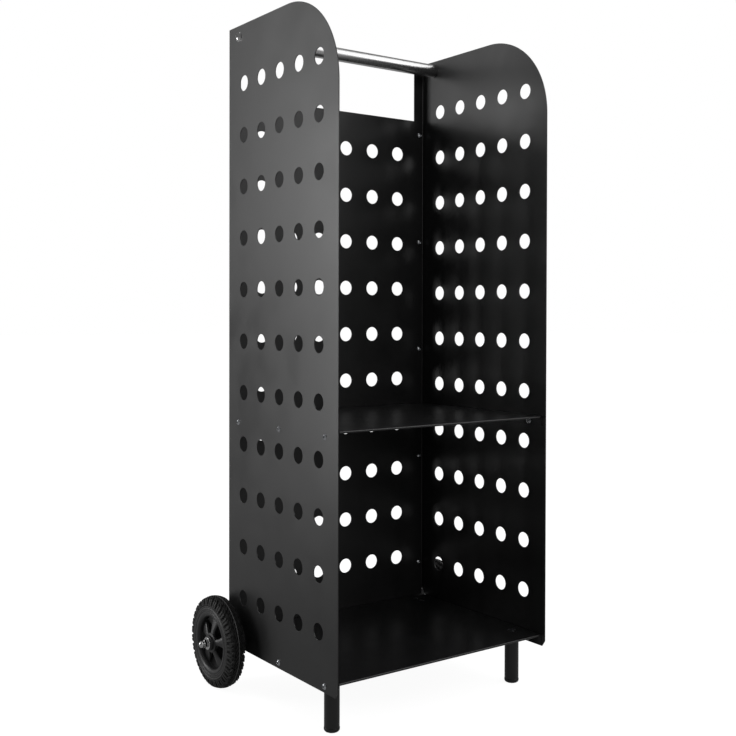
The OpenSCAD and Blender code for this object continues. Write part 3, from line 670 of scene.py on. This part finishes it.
def grooveDepth(radius, out, lug):
    # depth at each radius and height; lug counts lugs round the tread, its fraction is the place within one
    values = tyre
    pitch = tau * values["pitchRadius"] / values["lugs"]
    ring = values["ring"]

    def dig(distance, half):
        return 1 - step(distance, half - values["wall"], half + values["wall"])

    def gaps(offset, half, period=1.0):
        return dig(np.abs(((lug + offset) / period + 0.5) % 1 - 0.5) * pitch * period, half)

    slant = values["lugSlant"] * np.minimum(out - ring, 6)
    lugs = gaps(slant, values["lugGap"]) * step(out, ring - 0.3, ring + 0.3)
    notches = gaps(slant + 0.5, values["notchGap"]) * step(out, ring + 1.5, ring + 3)
    zigzag = ring + values["zigzag"] * (np.abs(lug % 1 - 0.5) * 4 - 1)
    rings = dig(np.abs(out - zigzag), values["ringGap"]) * (out < values["ringEnd"])
    blocks = gaps(values["blockSlant"] * (out - 4) + 0.25, values["blockGap"], 0.5)
    blocks *= step(out, values["centre"], values["centre"] + 0.5) * (1 - step(out, ring, ring + 0.4))
    deepest = np.maximum(values["lugDepth"] * lugs, values["depth"] * np.maximum(rings, blocks))
    return np.maximum(deepest, values["notchDepth"] * notches) * step(radius, *values["runOut"])


def tyreShell():
    # both halves of the section, their grooves half a lug apart, carried round the axle
    values = tyre
    path, normal = tyrePath()
    radius, out = path[:, :1], path[:, 1:]
    count = values["lugs"] * values["lugSteps"]
    lug = np.arange(count) / values["lugSteps"]
    line = sum(depth * np.clip(1 - ((radius - middle) / half) ** 2, 0, 1)
               for middle, half, depth in values["lines"]) * (out > values["halfWidth"] - 0.5)
    line = line - values["partingLine"] * (1 - step(out, *values["partingEdge"]))
    halves = []
    for sign, shift in ((1, 0.0), (-1, 0.5)):
        depth = grooveDepth(radius, out, lug + shift) + line
        halves.append(np.stack([radius - depth * normal[:, :1], sign * (out - depth * normal[:, 1:])]))
    radius, height = np.hstack([halves[0], halves[1][:, :0:-1]])
    angle = tau * np.arange(count) / count
    return ringShell(np.stack([radius * np.cos(angle), radius * np.sin(angle), height], -1), closed=True)


rim = {
    "turn": 30.0, "spokes": 5,
    "profile": [(46.5, -16.0), (57.0, -16.0), (57.0, -14.1), (52.9, -13.6), (52.9, 13.6), (57.0, 14.1),
                (57.0, 15.9), (55.6, 16.0), (54.9, 15.3), (53.6, 15.3), (52.9, 16.0), (44.6, 16.0),
                (45.6, 4.0)],
    "rounding": [0.8, 0.8, 0.5, 0.6, 0.6, 0.5, 0.6, 0.5, 0.5, 0.5, 0.6, 6.0, 0.0],
    "hub": 13.0, "bore": 8.0, "hubEnds": (-18.0, 19.0), "steps": 120,
    "collar": [(12.0, 8.0), (17.5, 8.8), (17.2, 14.2), (12.0, 15.2)],
    "flange": [(45.2, 1.2), (48.5, 1.0), (48.5, 6.2), (45.2, 6.4)],
    "spokeFrom": 11.0, "spokeTo": 48.5, "spokeWidth": (11.0, 27.0), "widening": (17, 48),
    "spokeFront": (15.0, 6.3), "spokeBack": (9.0, 0.6), "crown": 1.4,
    "hubFlare": (2.2, 13.0, 2.2), "rimFlare": (2.6, 2.4),      # width added at each end, how fast it fades
    "ribWidth": 3.0, "ribBack": -9.0, "ribOverlap": 2.0,
}


def loft(radius, halfWidth, front, back, power):
    # rounded rectangle (a superellipse) at each radius: half width across, between back and front in height
    across = np.linspace(0, tau, 40, endpoint=False)[None]
    c, s = np.cos(across), np.sin(across)
    lateral = halfWidth * np.sign(c) * np.abs(c) ** power
    rise = (front + back) / 2 + (front - back) / 2 * np.sign(s) * np.abs(s) ** power
    return np.stack(np.broadcast_arrays(radius, lateral, rise), -1), s > 0


def spokeShells():
    # width and height are functions of the distance from the axle, and a thin rib stands behind each spoke
    values = rim
    share = np.linspace(0, 1, 15)[:, None]

    def along(ends, share):
        return ends[0] + (ends[1] - ends[0]) * share

    radius = along((values["spokeFrom"], values["spokeTo"]), share)
    (hubAdd, hubEdge, hubFade), (rimAdd, rimFade) = values["hubFlare"], values["rimFlare"]
    flare = hubAdd * np.exp((hubEdge - radius) / hubFade)
    flare = flare + rimAdd * np.exp((radius - values["spokeTo"]) / rimFade)
    halfWidth = along(values["spokeWidth"], step(radius, *values["widening"])) / 2 + flare
    front, back = along(values["spokeFront"], share), along(values["spokeBack"], share)
    spoke, upper = loft(radius, halfWidth, front, back, 0.5)
    spoke[..., 2] -= values["crown"] * (spoke[..., 1] / halfWidth) ** 2 * upper
    rib = loft(radius, values["ribWidth"] / 2, back + values["ribOverlap"], values["ribBack"], 0.35)[0]
    shells = []
    for k in range(values["spokes"]):
        turn = math.radians(values["turn"]) + (k + 0.5) * tau / values["spokes"]
        side, up = (math.cos(turn), math.sin(turn), 0), (-math.sin(turn), math.cos(turn), 0)
        shells += [placed(ringShell(rings), (0, 0, 0), side, up, (0, 0, 1)) for rings in (spoke, rib)]
    return shells


def rimShells():
    # barrel, hub, collar and inner flange are closed profiles spun about the axle
    values = rim
    low, high = values["hubEnds"]
    hub = [(values["bore"], low), (values["hub"], low), (values["hub"], high), (values["bore"], high)]
    profiles = [rounded(values["profile"], values["rounding"], 5), rounded(hub, [0.3, 1.0, 1.0, 0.3]),
                rounded(values["collar"], [0, 1.2, 1.2, 0]), rounded(values["flange"], [1.0, 0, 0, 1.2])]
    return [ringShell(spin(profile, values["steps"]), closed=True) for profile in profiles] + spokeShells()


for name, side in (("left", -1), ("right", 1)):
    low, high = nodeBox(name + "_tyre")
    middle = (low + high) / 2
    axes = ((0, 0, 1), (0, 1, 0), (side, 0, 0))
    makePiece(name + "Tyre", [placed(tyreShell(), middle, *axes)],
              rubber, name + "_wheel", name + "_tyre", sharp=50)
    makePiece(name + "Rim", [placed(shell, middle, *axes) for shell in rimShells()],
              rimPlastic, name + "_wheel", name + "_rim", sharp=40)
print("wheels made")


# nuts, screws and washers are drawn with the head toward z

def hexRadius(angle, across):
    # half the width across the flats over the cosine of the angle to the nearest flat's middle
    return across / 2 / np.cos((angle + math.pi / 6) % (math.pi / 3) - math.pi / 6)


def socketRings(steps, key, floor):
    # hexagon at the mouth, at the foot of its walls and at the tip of its conical floor
    hexagon = hexRadius(tau * np.arange(steps) / steps, key)
    return [hexagon, hexagon * floor, hexagon * screws["tip"][0]]


def domedHead(diameter, height, key, depth, steps):
    # rounded rim, dome on a sphere, then a chamfered hexagon socket with a conical floor
    foot, radius = screws["headFoot"], diameter / 2
    sphere = (radius ** 2 + (height - foot) ** 2) / (2 * (height - foot))
    socket = key / math.sqrt(3) * screws["mouth"]
    dome = np.linspace(radius, socket, screws["domeSteps"])
    domeZ = height - sphere + np.sqrt(sphere ** 2 - dome ** 2)
    top = domeZ[-1]
    radii = [radius - screws["headRim"], *dome, socket - screws["mouthBevel"]]
    drops = [*screws["mouthDrops"], depth, depth + screws["tip"][1]]
    heights = [0.0, *domeZ, *(top - drop for drop in drops)]
    rings = [np.full(steps, r) for r in radii] + socketRings(steps, key, screws["wallDraft"])
    return ringShell(shape(np.array(rings), heights, tau * np.arange(steps) / steps))


def hexPrism(across, height, chamfer, steps, rows):
    # hexagon whose corners a cone of 30 degrees takes off at both ends
    angle = tau * np.arange(steps) / steps
    rise = np.linspace(0, chamfer, rows)[:, None]
    cone = across / 2 * screws["facedTo"] + rise * math.tan(math.radians(60))
    low = np.minimum(hexRadius(angle, across), cone)
    return angle, np.vstack([low, low[::-1]]), np.concatenate([rise[:, 0], height - rise[::-1, 0]])


def nutShell(height):
    # closes through its bore, which is chamfered at both ends
    angle, radii, heights = hexPrism(screws["nutAcross"], height, screws["nutChamfer"],
                                     screws["nutSteps"], screws["chamferRows"])
    bore, (wider, deep) = screws["thread"] / 2, screws["boreChamfer"]
    inner = np.array([bore + wider, bore, bore])[:, None] + 0 * angle
    radii = np.vstack([inner[:1], radii, inner])
    return ringShell(shape(radii, [0.0, *heights, height, height - deep, deep], angle), closed=True)


def threadEnd(diameter, start, end, pitch):
    # shank whose radius rises and falls with a wave that climbs one pitch a turn
    angle = tau * np.arange(screws["threadSteps"]) / screws["threadSteps"]
    height = np.arange(start, end, pitch / screws["threadRings"])
    phase = (height[:, None] / pitch - angle[None] / tau) % 1
    fade = step((end - height)[:, None], 0, pitch)
    depth = screws["threadDepth"] * pitch * np.abs(phase - 0.5) * 2 * fade
    radius = diameter / 2 - depth - screws["threadPoint"] * pitch * (1 - fade)
    return ringShell(shape(radius, height, angle))


def washerShell(outer, bore, thickness, soft):
    # rounded oblong spun round z
    profile = [(bore, 0), (outer, 0), (outer, thickness), (bore, thickness)]
    return ringShell(spin(rounded(profile, [0.2, soft, soft, 0.2])), closed=True)


def laidAlong(axis, sign):
    # side, up and out for a local z that points along an axis
    out = np.zeros(3)
    out[axis] = sign
    side = np.roll(out, 1)
    return side, np.cross(out, side), out


def makeZinc(name, shells, node):
    makePiece(name, shells, zinc, "cart", node, sharp=30)


def makeSheetScrews(name, node, axis, places, through):
    # at each place a head faces along the axis, its thread runs the other way and a nut sits so far through
    thread = threadEnd(screws["thread"], screws["threadFrom"], screws["threadTo"], screws["pitch"])
    heads, nuts = [], []
    for sign, *place in places:
        out, inside = laidAlong(axis, sign), laidAlong(axis, -sign)
        heads += [placed(domedHead(*screws["sheetHead"]), place, *out), placed(thread, place, *inside)]
        nuts.append(placed(nutShell(screws["nutHeight"]), place + through * inside[2], *inside))
    makeZinc(name + "Screws", heads, node + "_screws")
    makeZinc(name + "Nuts", nuts, node + "_nuts")


def makeShelfAndBackScrews():
    low, high = nodeBox("left_side_panel")
    middle = (low[1] + high[1]) / 2
    for name in ("upper", "bottom"):
        height = nodeBox(name + "_shelf")[1][2] - screws["shelfDrop"]
        makeSheetScrews(name + "Shelf", name + "_shelf", 0, [
            (side, side * -low[0], middle + k * screws["shelfStep"], height)
            for side in (-1, 1) for k in (-1, 0, 1)], screws["nutBehind"])
    front = nodeBox("back_panel")[0][1]
    makeSheetScrews("back", "back_panel", 1, [
        (-1, side * screws["backAcross"], front, screws["backTop"] - k * screws["backStep"])
        for side in (-1, 1) for k in range(screws["backCount"])], high[1] - front)


def flushHead(diameter, length, key, pitch):
    # countersunk head under a flat top, its hexagon socket, and a wavy thread below, from the top down
    steps, land, radius = screws["flushHeadSteps"], screws["flushLand"], diameter / 2
    (lower, upper), drop = screws["flushBevel"], screws["flushDrop"]
    radii = [radius, radius, diameter - lower, diameter, diameter, diameter - upper,
             key / math.sqrt(3) * screws["flushMouth"]]
    heights = [-diameter, -land - radius, -land - lower, -land, -upper, 0.0, 0.0,
               -drop, drop - drop * diameter, -drop * diameter]
    rings = [np.full(steps, r) for r in radii] + socketRings(steps, key, screws["flushDraft"])
    head = ringShell(shape(np.array(rings), heights, tau * np.arange(steps) / steps))
    return head, threadEnd(diameter, 0.6 * diameter, length, pitch)


def makeFlushScrews():
    # flush in the bottom deck; the thread runs down, so it is laid along the other way
    top = nodeBox("bottom_shelf")[1][2]
    places = {"footScrews": ("foot_bolts", [screws["footPlace"]], screws["footThread"]),
              "bracketScrews": ("bracket_bolts", screws["bracketPlaces"], screws["bracketThread"])}
    for name, (node, spots, thread) in places.items():
        head, shank = flushHead(*thread)
        shells = []
        for side in (-1, 1):
            for x, y in spots:
                shells.append(placed(head, (side * x, y, top), *laidAlong(2, 1)))
                shells.append(placed(shank, (side * x, y, top), *laidAlong(2, -1)))
        makeZinc(name, shells, node)
    low, high = nodeBox("bracket_nuts")
    nut = nutShell(high[2] - low[2])
    makeZinc("bracketNuts", [placed(nut, (side * x, y, low[2]), *laidAlong(2, 1))
                             for side in (-1, 1) for x, y in screws["bracketPlaces"]], "bracket_nuts")


makeShelfAndBackScrews()
makeFlushScrews()
print("screws and nuts made")


tubes = {
    "radius": 12.5, "bore": 11.0, "edge": 0.25, "steps": 96,
    "boltThread": (8.0, 0.5, 20.0, 1.25),      # width, start, end and pitch
    "capLip": (12.9, 7.0), "capPlug": (16.0, 2.0), "capMiddle": 2.0,
    "capRounding": [0, 4.5, 0.6, 0, 0.4, 0.4, 0.8, 0], "capSteps": 5,
}


def tubeShell(start, end):
    # wall from bore to outer radius, rounded at both ends, spun round z
    edge = tubes["edge"]
    profile = [(tubes["bore"], start), (tubes["radius"], start), (tubes["radius"], end), (tubes["bore"], end)]
    return ringShell(spin(rounded(profile, edge), tubes["steps"]), closed=True)


def makeHandle():
    # bar between the side panels, with a domed bolt screwed into each end
    low, high = nodeBox("handle_tube")
    middle = (low + high) / 2
    bar = placed(tubeShell(low[0], high[0]), (0, middle[1], middle[2]), *laidAlong(0, 1))
    makePiece("handleBar", [bar], stainless, "cart", "handle_tube")
    panelLow = nodeBox("left_side_panel")[0]
    bolts = []
    for side in (-1, 1):
        face = (side * -panelLow[0], middle[1], middle[2])
        bolts.append(placed(domedHead(*screws["handleHead"]), face, *laidAlong(0, side)))
        bolts.append(placed(threadEnd(*tubes["boltThread"]), face, *laidAlong(0, -side)))
    makePiece("handleBolts", bolts, nickel, "cart", "handle_bolts", sharp=30)


def makeFeet():
    # upright tube on a cap whose plug fills its bore
    lip, lipHeight = tubes["capLip"]
    plug, wall = tubes["capPlug"]
    bore = tubes["bore"]
    middle, plugTop = tubes["capMiddle"], lipHeight + plug
    cap = rounded([(middle, 0), (lip, 0), (lip, lipHeight), (bore, lipHeight), (bore, plugTop),
                   (bore - wall, plugTop), (bore - wall, lipHeight), (middle, lipHeight)],
                  tubes["capRounding"], tubes["capSteps"])
    for name in ("left", "right"):
        low, high = nodeBox(name + "_foot_tube")
        x, y = (low[:2] + high[:2]) / 2
        tube = placed(tubeShell(low[2], high[2]), (x, y, 0), *laidAlong(2, 1))
        makePiece(name + "FootTube", [tube], tubeCoat, "cart", name + "_foot_tube")
        foot = placed(ringShell(spin(cap, tubes["steps"])), (x, y, 0), *laidAlong(2, 1))
        makePiece(name + "FootCap", [foot], capPlastic, "cart", name + "_foot_cap")


axleEnds = {
    # outer radius, bore radius, thickness and rounding
    "innerWasher": (12.0, 6.05, 2.2, 0.5), "outerWasher": (11.0, 4.05, 2.2, 0.5),
    "acrossNut": 13.0, "nutHeight": 6.5, "nutChamfer": 0.9, "nutSteps": 96, "chamferRows": 7,
    "neck": (6.25, 8.9), "dome": 6.05, "domeRings": 16,
}


def capNutShell():
    # chamfered hexagon, short round neck, then half an ellipse
    values = axleEnds
    angle, radii, heights = hexPrism(values["acrossNut"], values["nutHeight"], values["nutChamfer"],
                                     values["nutSteps"], values["chamferRows"])
    neckRadius, neckTop = values["neck"]
    dome = np.linspace(0, math.pi / 2, values["domeRings"] + 1)[:-1, None]
    radii = np.vstack([radii, neckRadius + 0 * angle[None], (neckRadius - 0.15) * np.cos(dome) + 0 * angle])
    domeZ = neckTop + values["dome"] * np.sin(dome[:, 0])
    return ringShell(shape(radii, [*heights, values["nutHeight"] + 0.2, *domeZ], angle))


def makeAxleEnds():
    # on each side a washer before the hub, a washer after it and a domed nut
    low, high = nodeBox("axle_rod")
    y, z = (low[1:] + high[1:]) / 2
    for name in ("inner", "outer"):
        node, size = name + "_washers", axleEnds[name + "Washer"]
        reach = nodeBox(node)[1][0]
        start = reach - size[2]
        pair = [placed(washerShell(*size), (side * start, y, z), *laidAlong(0, side)) for side in (-1, 1)]
        makePiece(name + "Washers", pair, nickel, "cart", node, sharp=30)
    pair = [placed(capNutShell(), (side * reach, y, z), *laidAlong(0, side)) for side in (-1, 1)]
    makePiece("capNuts", pair, nickel, "cart", "cap_nuts", sharp=30)


makeHandle()
makeFeet()
makeAxleEnds()
print("handle, feet and axle ends made")


cameraView = {"place": (-1.1187, -1.5332, 0.6602), "yaw": -35.745, "pitch": -0.62, "roll": 0.13,
              "lens": 51.43, "shift": -0.0573}


def makeCamera(view):
    # looks along +Y at yaw 0; a positive yaw turns it to the left, a positive roll leans it to the left
    data = bpy.data.cameras.new("camera")
    data.lens, data.sensor_width, data.shift_y, data.clip_end = view["lens"], 36.0, view["shift"], 100.0
    camera = newObject("camera", data)
    level = Euler((math.radians(90 + view["pitch"]), 0, math.radians(view["yaw"]))).to_matrix()
    camera.matrix_world = (level @ Euler((0, 0, math.radians(view["roll"]))).to_matrix()).to_4x4()
    camera.location = view["place"]
    bpy.context.scene.camera = camera


studio = {
    "around": 0.35,           # light from all round
    "mirrored": 0.18,         # how bright the white surround and floor show in shiny surfaces
    "floorGlow": 0.94,        # white that the eye sees on the floor beside the light that falls on it
    "floorColor": "#808080", "floorReach": 30.0,
    "middle": (0.0, 0.0, 0.6),
    "lamps": {                # azimuth from +x, elevation, distance, width and height in metres, watts
        "leftStrip": (130, 12, 2.6, 0.55, 0.73, 2.0),
        "leftHigh": (130, 28, 2.6, 0.55, 0.73, 2.4),
        "leftLow": (142, -4, 2.6, 0.55, 0.73, 10.2),
        "leftMiddle": (142, 12, 2.6, 0.55, 0.73, 10.7),
        "front": (262, 25, 3.0, 1.6, 1.6, 12.0),
        "frontRight": (300, 25, 3.0, 1.6, 1.6, 9.0),
        "rightHigh": (328, 40, 3.0, 2.2, 2.2, 22.0),
        "top": (90, 88, 2.4, 1.8, 1.4, 9.0),
    },
}


def seenDirectly(tree, mirrored):
    # one where the eye sees the surface straight or through glass, less in a mirror, zero for light
    path = addNode(tree, "ShaderNodeLightPath", {})
    seen, glossy = path["Is Camera Ray"], path["Is Glossy Ray"]
    mirror = addNode(tree, "ShaderNodeMath", {"operation": "MULTIPLY", 0: glossy, 1: mirrored})[0]
    for other in (mirror, path["Is Transmission Ray"]):
        seen = addNode(tree, "ShaderNodeMath", {"operation": "MAXIMUM", 0: seen, 1: other})[0]
    return seen, glossy


def makeSky(values):
    # white to the eye; in mirrors the same white at their share, for light the strength all round
    world = bpy.data.worlds.new("world")
    bpy.context.scene.world = world
    world.use_nodes = True
    tree = world.node_tree
    tree.nodes.clear()
    seen, glossy = seenDirectly(tree, values["mirrored"])
    lit = addNode(tree, "ShaderNodeMath", {"operation": "SUBTRACT", 0: 1.0, 1: glossy})[0]
    lit = addNode(tree, "ShaderNodeMath", {"operation": "MULTIPLY", 0: lit, 1: values["around"]})[0]
    strength = addNode(tree, "ShaderNodeMath", {"operation": "MAXIMUM", 0: seen, 1: lit})[0]
    white = addNode(tree, "ShaderNodeBackground", {"Color": (1, 1, 1, 1), "Strength": strength})[0]
    addNode(tree, "ShaderNodeOutputWorld", {"Surface": white})


def makeFloor(values):
    # grey where light falls on it, with white added for the eye
    material, tree, _ = newMaterial("paleFloor")
    matt = addNode(tree, "ShaderNodeBsdfDiffuse", {"Color": linear(values["floorColor"])})[0]
    seen = seenDirectly(tree, values["mirrored"])[0]
    glow = addNode(tree, "ShaderNodeMath", {"operation": "MULTIPLY", 0: seen, 1: values["floorGlow"]})[0]
    white = addNode(tree, "ShaderNodeEmission", {"Color": (1, 1, 1, 1), "Strength": glow})[0]
    both = addNode(tree, "ShaderNodeAddShader", {0: matt, 1: white})[0]
    addNode(tree, "ShaderNodeOutputMaterial", {"Surface": both})
    mesh = bpy.data.meshes.new("floor")
    far = values["floorReach"]
    mesh.from_pydata([(-far, -far, 0), (far, -far, 0), (far, far, 0), (-far, far, 0)], [], [(0, 1, 2, 3)])
    mesh.materials.append(material)
    newObject("floor", mesh)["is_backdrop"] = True


def makeLamps(lamps, middle):
    # soft boxes on a sphere about the middle, each turned to face it
    for name, (azimuth, elevation, distance, width, height, power) in lamps.items():
        data = bpy.data.lights.new(name, "AREA")
        data.shape, data.size, data.size_y, data.energy = "RECTANGLE", width, height, power
        lamp = newObject(name, data)
        turn, rise = math.radians(azimuth), math.radians(elevation)
        away = Vector((math.cos(turn) * math.cos(rise), math.sin(turn) * math.cos(rise), math.sin(rise)))
        lamp.location = Vector(middle) + distance * away
        lamp.rotation_euler = (-away).to_track_quat("-Z", "Y").to_euler()
        lamp.visible_camera = False


makeCamera(cameraView)
makeSky(studio)
makeFloor(studio)
makeLamps(studio["lamps"], studio["middle"])
bpy.context.scene.view_settings.view_transform = "Standard"
print("camera, floor and light made")

low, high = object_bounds()
